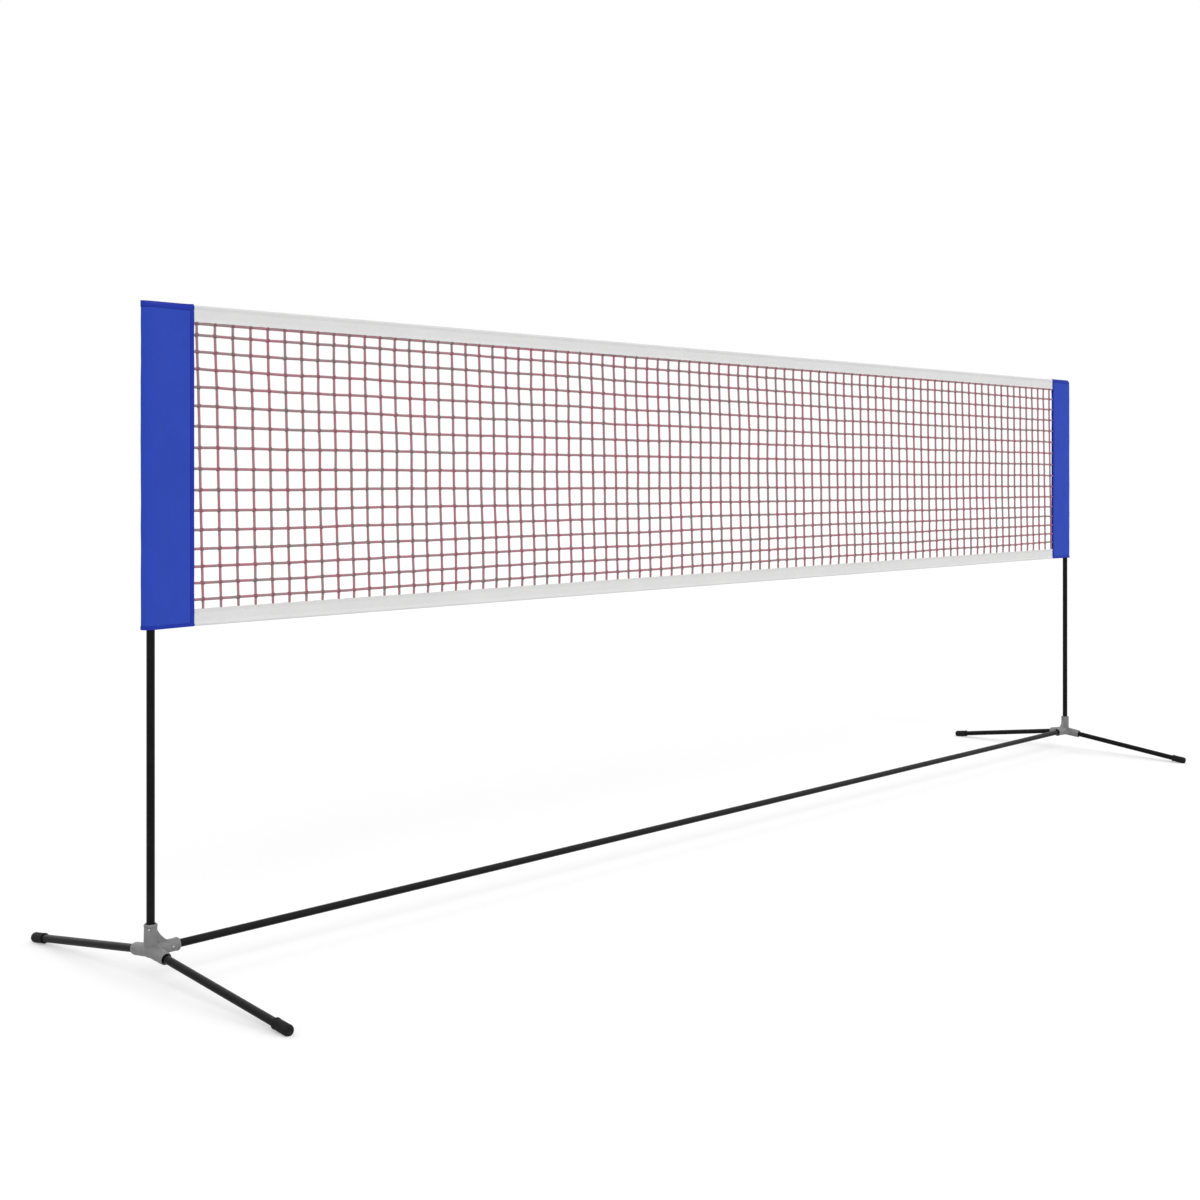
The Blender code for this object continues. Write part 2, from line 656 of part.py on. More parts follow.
def add_base_bar():
    """Four bar sections that plug into each other, with a snap button in each joint."""
    first_joint = BAR_START + BAR_PITCH
    end_button_x = POLE_SPACING / 2 - BAR_BUTTON_REACH
    joint_buttons = {
        "left_joint_button": button_frame((first_joint - JOINT_BUTTON_REACH) * ALONG_BAR, -ALONG_BAR, BACK),
        "middle_joint_button": button_frame(JOINT_BUTTON_REACH * ALONG_BAR, ALONG_BAR, BACK),
        "right_joint_button": button_frame((JOINT_BUTTON_REACH - first_joint) * ALONG_BAR, ALONG_BAR, BACK),
    }
    end_buttons = {
        "left_end": button_frame(-end_button_x * ALONG_BAR, -ALONG_BAR, -BACK),
        "right_end": button_frame(end_button_x * ALONG_BAR, ALONG_BAR, BACK),
    }
    sections = [
        ("left_outer_bar", False, False),
        ("left_inner_bar", True, True),
        ("right_inner_bar", False, True),
        ("right_outer_bar", False, False),
    ]
    for index, (name, swaged_start, swaged_end) in enumerate(sections):
        start_x = BAR_START + index * BAR_PITCH
        mesh = bar_section_mesh(name, start_x, swaged_start, swaged_end, {**joint_buttons, **end_buttons})
        add_node(name, mesh, "black_powder_coat", location=(start_x, 0, JUNCTION_HEIGHT))
    mesh = button_mesh("joint_button", SWAGE_RADIUS - TUBE_WALL, JOINT_BUTTON_TOP)
    lift = Matrix.Translation((0, 0, JUNCTION_HEIGHT))
    for name, frame in joint_buttons.items():
        add_button(name, mesh, lift @ frame)


def add_bands():
    """White bands along both edges of the mesh, each folded over its own cord."""
    band = band_mesh()
    cord = cord_mesh()
    upright = Matrix(((0, 0, 1), (1, 0, 0), (0, 1, 0))).to_4x4()
    hanging = Matrix.Rotation(math.pi, 4, "X") @ upright
    for edge, height, turn in (("top", NET_TOP, upright), ("bottom", NET_BOTTOM, hanging)):
        inwards = -1 if edge == "top" else 1
        cord_height = height + inwards * BAND_ROUND_RADIUS
        add_node(f"{edge}_band", band, "white_fabric", location=(0, 0, height), rotation=turn)
        add_node(f"{edge}_band_cord", cord, "white_cord", location=(0, 0, cord_height), rotation=turn)


def add_netting():
    """Square-mesh netting between the bands: a wire grid of crossing strands."""
    half_length = MESH_HALF_LENGTH - STRAND_THICKNESS
    half_height = NET_DEPTH / 2 - BAND_WIDTH - STRAND_THICKNESS
    bm = bmesh.new()
    bmesh.ops.create_grid(bm, x_segments=MESH_COLUMNS, y_segments=MESH_ROWS, size=1)
    bmesh.ops.scale(bm, vec=(half_length, half_height, 1), verts=bm.verts)
    bmesh.ops.rotate(bm, cent=(0, 0, 0), matrix=Matrix.Rotation(math.pi / 2, 3, "X"), verts=bm.verts)
    middle = (NET_TOP + NET_BOTTOM) / 2
    netting = add_node("netting", mesh_from("netting", bm), "maroon_twine", location=(0, 0, middle))
    strands = netting.modifiers.new("strands", "WIREFRAME")
    strands.thickness = STRAND_THICKNESS
    strands.use_boundary = True
    strands.use_even_offset = True
    strands.use_replace = True


# Directions out of a connector, in the frame of its own end of the net
UP = Vector((0, 0, 1))
ALONG_BAR = Vector((1, 0, 0))
BACK = Vector((0, 1, 0))
POLE_BUTTON = button_frame(POLE_BUTTON_HEIGHT * UP, -UP, (-ALONG_BAR - BACK).normalized())
BAR_BUTTON = button_frame(BAR_BUTTON_REACH * ALONG_BAR, -ALONG_BAR, -BACK)

clear_scene()
shared_pieces = end_pieces()
add_end("left", -POLE_SPACING / 2, 0, ("front", "back"), shared_pieces)
add_end("right", POLE_SPACING / 2, math.pi, ("back", "front"), shared_pieces)
add_base_bar()
add_bands()
add_netting()
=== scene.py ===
import math

import bmesh
import bpy
from mathutils import Matrix, Vector, noise


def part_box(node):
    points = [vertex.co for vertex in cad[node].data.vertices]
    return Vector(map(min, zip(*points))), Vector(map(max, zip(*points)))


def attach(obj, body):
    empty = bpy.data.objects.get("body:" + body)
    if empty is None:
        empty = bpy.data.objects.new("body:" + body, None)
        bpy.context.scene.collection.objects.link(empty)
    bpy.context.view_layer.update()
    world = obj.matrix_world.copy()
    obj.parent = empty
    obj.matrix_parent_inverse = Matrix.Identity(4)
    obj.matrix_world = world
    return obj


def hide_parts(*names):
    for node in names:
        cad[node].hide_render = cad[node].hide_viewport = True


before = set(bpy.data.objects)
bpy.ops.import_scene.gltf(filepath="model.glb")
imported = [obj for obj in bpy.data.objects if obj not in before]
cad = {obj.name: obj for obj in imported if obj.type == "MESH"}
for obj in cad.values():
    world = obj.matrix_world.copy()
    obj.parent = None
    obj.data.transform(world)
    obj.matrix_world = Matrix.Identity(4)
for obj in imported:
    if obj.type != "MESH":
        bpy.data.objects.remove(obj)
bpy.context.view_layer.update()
scene = bpy.context.scene

# Camera: at chest height beside the left end, looking along the net towards its right end.
# The verticals stay parallel, so the lens is level and shifted down.
eye = Vector((-4.3033, -3.3165, 1.1597))
turn_right = math.radians(47.432)
photo_width = 1200
focal_pixels = 1671.4
horizon_row = 473.3
lens = bpy.data.cameras.new("camera")
lens.sensor_width = 36.0
lens.lens = focal_pixels / photo_width * lens.sensor_width
lens.shift_y = (horizon_row - photo_width / 2) / photo_width
lens.clip_start = 0.05
camera = bpy.data.objects.new("camera", lens)
camera.location = eye
camera.rotation_euler = (math.pi / 2, 0, -turn_right)
scene.collection.objects.link(camera)
scene.camera = camera


# Tubes: 19 mm and 16 mm round steel tube, cut to length and powder-coated in satin black.
# The coat has a fine orange-peel skin, a little dust and faint rubs along each tube.
coat_colour = (0.0035, 0.0035, 0.0040)
coat_worn = (0.012, 0.012, 0.012)
coat_specular = 0.11
coat_roughness = (0.28, 0.42)
rubs_across = 300
rubs_along = 6
most_rubbed = 0.55
most_dusty = 0.5
dust_scale = 22.0
peel_scale = 650.0
peel_depth = 0.00012
tube_rounding = 0.0030


def new_finish(name, roughness, metallic=0.0):
    """Start a material, and return it with its tree and its surface shader."""
    finish = bpy.data.materials.new(name)
    finish.use_nodes = True
    tree = finish.node_tree
    shader = tree.nodes["Principled BSDF"]
    shader.inputs["Roughness"].default_value = roughness
    shader.inputs["Metallic"].default_value = metallic
    return finish, tree, shader


def coordinates(tree, stretch=(1, 1, 1), kind="Object"):
    """Object or UV coordinates, scaled along each axis."""
    source = tree.nodes.new("ShaderNodeTexCoord")
    mapping = tree.nodes.new("ShaderNodeMapping")
    mapping.inputs["Scale"].default_value = stretch
    tree.links.new(source.outputs[kind], mapping.inputs["Vector"])
    return mapping.outputs["Vector"]


def speckle(tree, vector, scale, detail=3.0, rough=0.5):
    """Noise with this many lumps to the metre."""
    lumps = tree.nodes.new("ShaderNodeTexNoise")
    lumps.inputs["Scale"].default_value = scale
    lumps.inputs["Detail"].default_value = detail
    lumps.inputs["Roughness"].default_value = rough
    tree.links.new(vector, lumps.inputs["Vector"])
    return lumps.outputs["Fac"]


def spread(tree, value, low, high, to_low=0.0, to_high=1.0):
    """Stretch the values between low and high over another range."""
    ramp = tree.nodes.new("ShaderNodeMapRange")
    limits = {"From Min": low, "From Max": high, "To Min": to_low, "To Max": to_high}
    for socket, number in limits.items():
        ramp.inputs[socket].default_value = number
    tree.links.new(value, ramp.inputs["Value"])
    return ramp.outputs["Result"]


def mixed(tree, factor, first, second):
    """Mix two colours, each a colour or a socket, by a socket."""
    blend = tree.nodes.new("ShaderNodeMix")
    blend.data_type = "RGBA"
    tree.links.new(factor, blend.inputs["Factor"])
    for socket, colour in ((blend.inputs[6], first), (blend.inputs[7], second)):
        if isinstance(colour, tuple):
            socket.default_value = (*colour, 1.0)
        else:
            tree.links.new(colour, socket)
    return blend.outputs[2]


def calculated(tree, operation, *values):
    """Arithmetic on sockets and numbers."""
    sum_node = tree.nodes.new("ShaderNodeMath")
    sum_node.operation = operation
    for socket, value in zip(sum_node.inputs, values):
        if isinstance(value, (int, float)):
            socket.default_value = value
        else:
            tree.links.new(value, socket)
    return sum_node.outputs[0]


def paint(tree, shader, colour, roughness=None):
    """Lead a colour and a roughness to the surface."""
    tree.links.new(colour, shader.inputs["Base Color"])
    if roughness:
        tree.links.new(roughness, shader.inputs["Roughness"])


def roughen(tree, shader, height, depth, strength=1.0, rounding=0.0):
    """Bump the surface by a height of 0 to 1 over this depth in metres, on softly rounded edges."""
    bump = tree.nodes.new("ShaderNodeBump")
    if rounding:
        rounded = tree.nodes.new("ShaderNodeBevel")
        rounded.samples = 8
        rounded.inputs["Radius"].default_value = rounding
        tree.links.new(rounded.outputs["Normal"], bump.inputs["Normal"])
    bump.inputs["Strength"].default_value = strength
    bump.inputs["Distance"].default_value = depth
    tree.links.new(height, bump.inputs["Height"])
    tree.links.new(bump.outputs["Normal"], shader.inputs["Normal"])


def tube_coat(name, along):
    """Satin powder coat whose rubs run along the given axis."""
    finish, tree, shader = new_finish(name, 0.36)
    shader.inputs["Specular IOR Level"].default_value = coat_specular
    metres = coordinates(tree)
    rub_stretch = tuple(rubs_along if axis == along else rubs_across for axis in "XYZ")
    rubs = speckle(tree, coordinates(tree, rub_stretch), 1.0, 2.0)
    dust = speckle(tree, metres, dust_scale, 6.0, 0.65)
    dusty = calculated(tree, "MULTIPLY", spread(tree, dust, 0.48, 0.72), most_dusty)
    rubbed = spread(tree, rubs, 0.62, 0.78, 0.0, most_rubbed)
    worn = calculated(tree, "MAXIMUM", dusty, rubbed)
    colour = mixed(tree, worn, coat_colour, coat_worn)
    paint(tree, shader, colour, spread(tree, dust, 0.3, 0.7, *coat_roughness))
    roughen(tree, shader, speckle(tree, metres, peel_scale, 2.0), peel_depth, 0.35, tube_rounding)
    return finish


def dress(finish, *nodes):
    """Give these CAD pieces the finish."""
    for node in nodes:
        cad[node].material_slots[0].material = finish


bar_coat = tube_coat("black_coat_along_bar", "X")
pole_coat = tube_coat("black_coat_along_pole", "Z")
leg_coat = tube_coat("black_coat_along_leg", "Y")
dress(bar_coat, "left_outer_bar", "left_inner_bar", "right_inner_bar", "right_outer_bar")
dress(pole_coat, "left_lower_pole", "right_lower_pole", "left_upper_pole", "right_upper_pole")
dress(leg_coat, "left_front_leg", "left_back_leg", "right_front_leg", "right_back_leg")


# Base connectors: four-way mouldings in mid grey nylon, each a push fit for a pole, the bar and
# two legs. The mould left a fine eroded grain and a thin parting line round the middle.
nylon_grey = (0.185, 0.185, 0.187)
nylon_pale = (0.232, 0.232, 0.234)
nylon_dark = (0.150, 0.150, 0.153)
nylon_roughness = (0.42, 0.56)
flow_scale = 55.0
erosion_scale = 1500.0
erosion_share = 0.45
skin_depth = 0.00022
parting_width = 0.0003
connector_rounding = 0.0014


def axes_of(tree, vector):
    """The X, Y and Z of a vector, each as a socket."""
    split = tree.nodes.new("ShaderNodeSeparateXYZ")
    tree.links.new(vector, split.inputs["Vector"])
    return split.outputs


connector_finish, tree, shader = new_finish("grey_nylon", 0.48)
metres = coordinates(tree)
clouds = speckle(tree, metres, flow_scale, 4.0, 0.55)
grain = speckle(tree, metres, erosion_scale, 2.0)
flow = mixed(tree, spread(tree, clouds, 0.35, 0.65), nylon_dark, nylon_pale)
colour = mixed(tree, spread(tree, grain, 0.40, 0.66, 0.25, 0.75), nylon_grey, flow)
paint(tree, shader, colour, spread(tree, clouds, 0.3, 0.7, *nylon_roughness))
off_plane = calculated(tree, "ABSOLUTE", axes_of(tree, metres)["Y"])
parting = spread(tree, off_plane, 0.0, parting_width, 1.0, 0.0)
skin = calculated(tree, "ADD", calculated(tree, "MULTIPLY", grain, erosion_share), parting)
roughen(tree, shader, skin, skin_depth, 0.6, connector_rounding)
dress(connector_finish, "left_base_connector", "right_base_connector")


# Snap buttons: bright zinc-plated steel studs, each riveted to a leaf spring inside its tube.
# They spring out through a hole in the socket or in the next section of the bar.
zinc_light = (0.60, 0.60, 0.61)
zinc_dull = (0.42, 0.42, 0.44)
zinc_roughness = (0.22, 0.42)
spangle_scale = 900.0
plating_scale = 2600.0
plating_depth = 0.00004
button_rounding = 0.0008
button_finish, tree, shader = new_finish("zinc_plate", 0.28, metallic=1.0)
metres = coordinates(tree)
spangle = speckle(tree, metres, spangle_scale, 4.0, 0.6)
colour = mixed(tree, spread(tree, spangle, 0.35, 0.7), zinc_light, zinc_dull)
paint(tree, shader, colour, spread(tree, spangle, 0.3, 0.7, *zinc_roughness))
plating = speckle(tree, metres, plating_scale, 2.0)
roughen(tree, shader, plating, plating_depth, 0.5, button_rounding)
dress(
    button_finish, "left_pole_button", "right_pole_button", "left_bar_button", "right_bar_button",
    "left_joint_button", "middle_joint_button", "right_joint_button",
)


# Twist locks, bushes and pole caps: black glass-filled nylon, moulded with a matt skin. They are
# pressed on or into the tubes of the poles, and each lock's collar turns on its cuff.
lock_black = (0.022, 0.022, 0.024)
lock_worn = (0.050, 0.050, 0.052)
lock_roughness = (0.44, 0.62)
handling_scale = 140.0
most_handled = 0.7
moulding_scale = 1700.0
moulding_depth = 0.0001
lock_rounding = 0.0006
lock_finish, tree, shader = new_finish("black_nylon", 0.52)
metres = coordinates(tree)
handled = speckle(tree, metres, handling_scale, 5.0, 0.6)
grain = speckle(tree, metres, moulding_scale, 2.0)
colour = mixed(tree, spread(tree, handled, 0.5, 0.8, 0.0, most_handled), lock_black, lock_worn)
paint(tree, shader, colour, spread(tree, handled, 0.3, 0.7, *lock_roughness))
roughen(tree, shader, grain, moulding_depth, 0.6, lock_rounding)
dress(
    lock_finish, "left_pole_lock", "right_pole_lock", "left_lock_collar", "right_lock_collar",
    "left_guide_bush", "right_guide_bush", "left_pole_cap", "right_pole_cap",
)


# Foot caps: soft black rubber pushed over the ends of the legs. They stand on a worn flat,
# which has picked up dust from the floor.
rubber_black = (0.006, 0.006, 0.006)
rubber_dust = (0.085, 0.080, 0.074)
rubber_specular = 0.2
rubber_roughness = (0.64, 0.86)
grime_scale = 260.0
most_grimy = 0.8
dust_height = 0.012
rubber_scale = 1100.0
rubber_depth = 0.00015
foot_rounding = 0.0020
rubber_finish, tree, shader = new_finish("black_rubber", 0.72)
shader.inputs["Specular IOR Level"].default_value = rubber_specular
metres = coordinates(tree)
grime = speckle(tree, metres, grime_scale, 6.0, 0.7)
near_floor = spread(tree, axes_of(tree, metres)["Z"], 0.0, dust_height, 1.0, 0.0)
patchy = spread(tree, grime, 0.42, 0.72, 0.0, most_grimy)
dusted = calculated(tree, "MULTIPLY", near_floor, patchy)
colour = mixed(tree, dusted, rubber_black, rubber_dust)
paint(tree, shader, colour, spread(tree, grime, 0.3, 0.7, *rubber_roughness))
roughen(tree, shader, speckle(tree, metres, rubber_scale, 3.0), rubber_depth, 0.7, foot_rounding)
dress(
    rubber_finish, "left_front_foot_cap", "left_back_foot_cap", "right_front_foot_cap",
    "right_back_foot_cap",
)


# Sleeves: royal blue woven polyester, folded round the pole into a deep flat pocket, sewn shut
# along the inner edge and across the top, and hemmed at every edge. Each is one cut of cloth,
# kept taut between the pole and the net by the net's own pull.
sleeve_low, sleeve_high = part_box("left_sleeve")
pole_low, pole_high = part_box("left_upper_pole")
pole_x = (pole_low.x + pole_high.x) / 2
sleeve_height = sleeve_high.z - sleeve_low.z
panel_length = sleeve_high.x - pole_x
fold_reach = 0.0234
pocket_half = 0.0158
fold_length = math.pi * math.sqrt((fold_reach ** 2 + pocket_half ** 2) / 2)
sleeve_girth = 2 * panel_length + fold_length
seam_half = 0.0019
shoulder_drop = 0.024
shoulder_squareness = 2.4
corner_flare = 0.0025
cloth_thickness = 0.0007
side_hem = 0.012
top_hem = 0.014
mouth_hem = 0.009
hem_stand = 0.0008
top_edge_round = 0.0140
cloth_steps = (0.005, 0.005)
hem_steps = (0.0035, 0.0035)

# How the cloth moves off flat: broad folds and slanting creases, each first where the cloth is
# held and then what is added where it is loose, and ripples from the seams and the corners.
held_edge = 0.03
fold_depth = (0.0010, 0.0026)
folds_across = 9
folds_up = 3.2
crease_depth = (0.0005, 0.0011)
crease_slant = ((24, 15), (-13, 19))
tug_depth = 0.0011
tug_ripples = 60
pucker_depth = 0.0002
pucker_ripples = 700
pucker_fade = 220
tape_bump = 0.0021
tape_bump_half = 0.006
tape_bump_fade = 9

tape_low, tape_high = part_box("top_band")
cord_low, cord_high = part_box("top_band_cord")
tape_cord_drop = tape_high.z - (cord_low.z + cord_high.z) / 2


def sleeve_point(around, up, proud, seed):
    """Where the cloth at a distance round the fold and a height lies, for the left sleeve."""
    if around < panel_length:
        side, inward = -1, panel_length - around
    elif around > panel_length + fold_length:
        side, inward = 1, around - panel_length - fold_length
    else:
        side, inward = 0, 0.0
    depth = max(up - (sleeve_height - shoulder_drop), 0.0) / shoulder_drop
    shoulder = math.sqrt(max(1 - min(depth, 1.0) ** shoulder_squareness, 0.001))
    half = pocket_half * shoulder
    ease = min(up, sleeve_height - up, held_edge) / held_edge
    share = min(inward / panel_length, 1.0)
    loose = 4 * share * (1 - share)
    fold = noise.noise(Vector((inward * folds_across, up * folds_up, seed)))
    fold *= fold_depth[0] + fold_depth[1] * loose
    slanted = [inward * across + up * upward for across, upward in crease_slant]
    crease = noise.noise(Vector((*slanted, seed + 7)))
    crease *= crease_depth[0] + crease_depth[1] * loose
    if side == 0:
        angle = math.pi * (around - panel_length) / fold_length
        outward = Vector((-math.sin(angle), -math.cos(angle), 0))
        reach = fold_reach + corner_flare * (1 - shoulder) + proud
        place = Vector((-reach * math.sin(angle), -(half + proud) * math.cos(angle), 0))
        lift = crease
    else:
        outward = Vector((0, side, 0))
        seam = seam_half * shoulder
        for cord_up in (tape_cord_drop, sleeve_height - tape_cord_drop):
            off = (up - cord_up) / tape_bump_half
            seam += tape_bump * math.exp(-off * off - (1 - share) * tape_bump_fade)
        place = Vector((inward, side * (seam + proud + (half - seam) * (1 - share)), 0))
        corner = abs(2 * up / sleeve_height - 1) ** 3 * share
        ripple = tug_ripples * (inward + abs(up - sleeve_height / 2))
        tug = math.sin(ripple) * tug_depth * corner
        from_seam = max(panel_length - inward - side_hem, 0.0)
        pucker = math.sin(up * pucker_ripples) * pucker_depth * math.exp(-from_seam * pucker_fade)
        lift = crease + tug + pucker
    place += outward * lift * ease
    return Vector((pole_x + place.x, place.y + fold * ease, sleeve_low.z + up))


def top_edge_point(around, over, seed):
    """Where the top hem lies as it turns over the top edge, from the front to the back."""
    front = sleeve_point(around, sleeve_height, hem_stand, seed)
    angle = math.pi * over / top_edge_round
    return Vector((front.x, front.y * math.cos(angle), front.z - front.y * math.sin(angle)))


def lay_cloth(bm, width, length, steps, lay, start=0.0):
    """A grid of cloth laid where lay(across, along) puts it, with its UVs in metres."""
    columns, rows = (max(round(side / step), 2) for side, step in zip((width, length), steps))
    made = bmesh.ops.create_grid(bm, x_segments=columns, y_segments=rows, size=0.5)
    uv = bm.loops.layers.uv.verify()
    flat = {}
    for vert in made["verts"]:
        flat[vert] = (start + (vert.co.x + 0.5) * width, (vert.co.y + 0.5) * length)
        vert.co = lay(*flat[vert])
    for face in {face for vert in made["verts"] for face in vert.link_faces}:
        for loop in face.loops:
            loop[uv].uv = flat[loop.vert]


def finished(name, bm, finish, place=None):
    """Put the mesh in its place and make it a piece of the net."""
    bmesh.ops.transform(bm, matrix=place or Matrix(), verts=bm.verts)
    bmesh.ops.recalc_face_normals(bm, faces=bm.faces)
    mesh = bpy.data.meshes.new(name)
    bm.to_mesh(mesh)
    bm.free()
    mesh.shade_smooth()
    mesh.materials.append(finish)
    piece = bpy.data.objects.new(name, mesh)
    scene.collection.objects.link(piece)
    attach(piece, "net")
    return piece


def thicken(piece, thickness):
    """Give cloth its thickness, and smooth it."""
    solid = piece.modifiers.new("cloth_thickness", "SOLIDIFY")
    solid.thickness = thickness
    solid.offset = 0.0
    smooth = piece.modifiers.new("smooth_cloth", "SUBSURF")
    smooth.levels = 1
    smooth.render_levels = 1


cloud_scale = 9.0
slub_scale = 60.0
slub_stretch = (1, 9, 1)
# Painted shade in the weave: the gaps between the threads are darkened towards half the cloth's
# colour.
thread_gap_shade = 0.5
most_gap_shade = 0.3
thread_height = 0.22


def shaded(colour, shade):
    """The same colour, lighter or darker."""
    return tuple(shade * value for value in colour)


def woven(name, colour, pitch, roughness, sheen, variety=0.05):
    """Plain weave in UVs of metres: warp and weft pass over each other, with painted shade in the
    gaps.
    """
    finish, tree, shader = new_finish(name, roughness)
    threads = coordinates(tree, (1 / pitch, 1 / pitch, 1), "UV")
    across = axes_of(tree, threads)
    rounds = []
    for axis in "XY":
        turn = calculated(tree, "MULTIPLY", across[axis], math.pi)
        rounds.append(calculated(tree, "ABSOLUTE", calculated(tree, "SINE", turn)))
    check = tree.nodes.new("ShaderNodeTexChecker")
    check.inputs["Scale"].default_value = 1.0
    tree.links.new(threads, check.inputs["Vector"])
    weave = tree.nodes.new("ShaderNodeMix")
    tree.links.new(check.outputs["Fac"], weave.inputs["Factor"])
    tree.links.new(rounds[0], weave.inputs["A"])
    tree.links.new(rounds[1], weave.inputs["B"])
    height = weave.outputs["Result"]
    slubs = speckle(tree, coordinates(tree, slub_stretch, "UV"), slub_scale, 4.0, 0.6)
    clouds = speckle(tree, coordinates(tree), cloud_scale, 5.0, 0.6)
    tone = calculated(tree, "MULTIPLY", calculated(tree, "ADD", slubs, clouds), 0.5)
    dark, pale = shaded(colour, 1 - variety), shaded(colour, 1 + variety)
    ground = mixed(tree, spread(tree, tone, 0.38, 0.62), dark, pale)
    # Painted shade: darker where the threads dip, in the gaps of the weave.
    painted_gap_shade = spread(tree, height, 0.0, 0.4, most_gap_shade, 0.0)
    paint(tree, shader, mixed(tree, painted_gap_shade, ground, shaded(colour, thread_gap_shade)))
    shader.inputs["Specular IOR Level"].default_value = 0.2
    shader.inputs["Sheen Weight"].default_value = sheen
    shader.inputs["Sheen Roughness"].default_value = 0.45
    roughen(tree, shader, height, pitch * thread_height, 0.5)
    return finish


# Painted shade on the sewing thread: random specks a third darker, for the shade between its
# strands.
ply_scale = 2500.0
ply_shade = 0.65


def thread(name, colour, roughness):
    """Sewing thread, with random specks of painted shade for the shade between its strands."""
    finish, tree, shader = new_finish(name, roughness)
    ply_shade_specks = speckle(tree, coordinates(tree), ply_scale, 2.0)
    deep = shaded(colour, ply_shade)
    paint(tree, shader, mixed(tree, spread(tree, ply_shade_specks, 0.35, 0.65), colour, deep))
    shader.inputs["Specular IOR Level"].default_value = 0.3
    return finish


def copies(pattern, places):
    """A mesh that holds the pattern once at each place."""
    shape = bpy.data.meshes.new("pattern")
    pattern.to_mesh(shape)
    pattern.free()
    bm = bmesh.new()
    for place in places:
        placed = shape.copy()
        placed.transform(place)
        bm.from_mesh(placed)
        bpy.data.meshes.remove(placed)
    bpy.data.meshes.remove(shape)
    return bm


stitch_end = 0.28
stitch_swell = 1.8


def stitches_between(pairs, length, thickness):
    """Short stitches from point to point, each a five-sided spindle that dives in at its ends."""
    pattern = bmesh.new()
    tip = thickness * stitch_end
    bmesh.ops.create_cone(
        pattern, cap_ends=True, segments=5, radius1=tip, radius2=tip, depth=length,
    )
    long_edges = [edge for edge in pattern.edges if edge.calc_length() > length * 0.99]
    cut = bmesh.ops.subdivide_edges(pattern, edges=long_edges, cuts=1)
    waist = [item for item in cut["geom_inner"] if isinstance(item, bmesh.types.BMVert)]
    bmesh.ops.scale(pattern, vec=(stitch_swell, stitch_swell, 1.0), verts=waist)
    places = []
    for first, second in pairs:
        aim = (second - first).to_track_quat("Z", "Y").to_matrix().to_4x4()
        places.append(Matrix.Translation((first + second) / 2) @ aim)
    return copies(pattern, places)


blue = (0.024, 0.064, 0.470)
# The hems are the sleeve's own cloth, given a darker blue as painted shade along the hemmed edges.
hem_blue_painted_shade = (0.013, 0.034, 0.385)
thread_blue = (0.020, 0.045, 0.360)
blue_pitch = 0.0009
blue_cloth = woven("blue_woven_polyester", blue, blue_pitch, 0.85, 0.05)
hem_shaded_cloth = woven("blue_hem_cloth_painted_shade", hem_blue_painted_shade, blue_pitch, 0.87, 0.05)
blue_thread = thread("blue_thread", thread_blue, 0.6)
stitch_pitch = 0.0044
stitch_length = 0.0034
stitch_inset = 0.0016
stitch_thickness = 0.0006
stitch_surface = hem_stand + cloth_thickness * 0.6

for side, turn, seed in (("left", 0.0, 0.0), ("right", math.pi, 31.0)):
    to_end = Matrix.Rotation(turn, 4, "Z")
    bm = bmesh.new()
    lay_cloth(
        bm, sleeve_girth, sleeve_height, cloth_steps,
        lambda s, t: sleeve_point(s, t, 0.0, seed),
    )
    sleeve = finished(f"{side}_sleeve_cloth", bm, blue_cloth, to_end)
    thicken(sleeve, cloth_thickness)
    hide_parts(f"{side}_sleeve")

    bm = bmesh.new()
    hem_top = sleeve_height - top_hem
    strips = (
        (0.0, sleeve_girth, hem_top, sleeve_height),
        (0.0, sleeve_girth, 0.0, mouth_hem),
        (0.0, side_hem, mouth_hem, hem_top),
        (sleeve_girth - side_hem, sleeve_girth, mouth_hem, hem_top),
    )
    for first, last, low, high in strips:
        lay_cloth(
            bm, last - first, high - low, hem_steps,
            lambda s, t: sleeve_point(first + s, low + t, hem_stand, seed),
        )
    lay_cloth(
        bm, sleeve_girth / 2, top_edge_round, hem_steps,
        lambda s, t: top_edge_point(s, t, seed),
    )
    hem = finished(f"{side}_sleeve_hem", bm, hem_shaded_cloth, to_end)
    thicken(hem, cloth_thickness)

    pairs = []
    for up in (hem_top + stitch_inset, mouth_hem - stitch_inset):
        for index in range(int((sleeve_girth - 2 * side_hem) / stitch_pitch)):
            first = side_hem + index * stitch_pitch
            ends = (first, first + stitch_length)
            pairs.append([sleeve_point(end, up, stitch_surface, seed) for end in ends])
    for around in (side_hem - stitch_inset, sleeve_girth - side_hem + stitch_inset):
        for index in range(int(sleeve_height / stitch_pitch)):
            first = index * stitch_pitch
            ends = (first, first + stitch_length)
            pairs.append([sleeve_point(around, end, stitch_surface, seed) for end in ends])
    bm = stitches_between(pairs, stitch_length, stitch_thickness)
    stitches = finished(f"{side}_sleeve_stitches", bm, blue_thread, to_end)


# Edge tapes: white woven tape folded over a cord along the top and bottom of the netting. One row
# of stitches holds the cord in the fold, and one shuts the tape on the ends of the twines.
white = (0.765, 0.765, 0.762)
thread_white = (0.78, 0.78, 0.77)
white_pitch = 0.0011
tape_width = tape_high.z - tape_low.z
net_end = tape_high.x
tape_end = net_end + 0.007
cord_fold = 0.0036
tape_leg = tape_width - cord_fold
fold_turn = math.pi * cord_fold
tape_girth = 2 * tape_leg + fold_turn
tape_thickness = 0.0006
tape_steps = (0.01046, 0.00324)
tape_pinch = 0.0010
pinch_reach = 0.0075
tape_mouth = 0.0029
mouth_start = 0.009
mouth_reach = 0.008
end_squeeze = 0.013
end_flattening = 0.6
end_drop = 0.002
mesh_cell = 0.0500

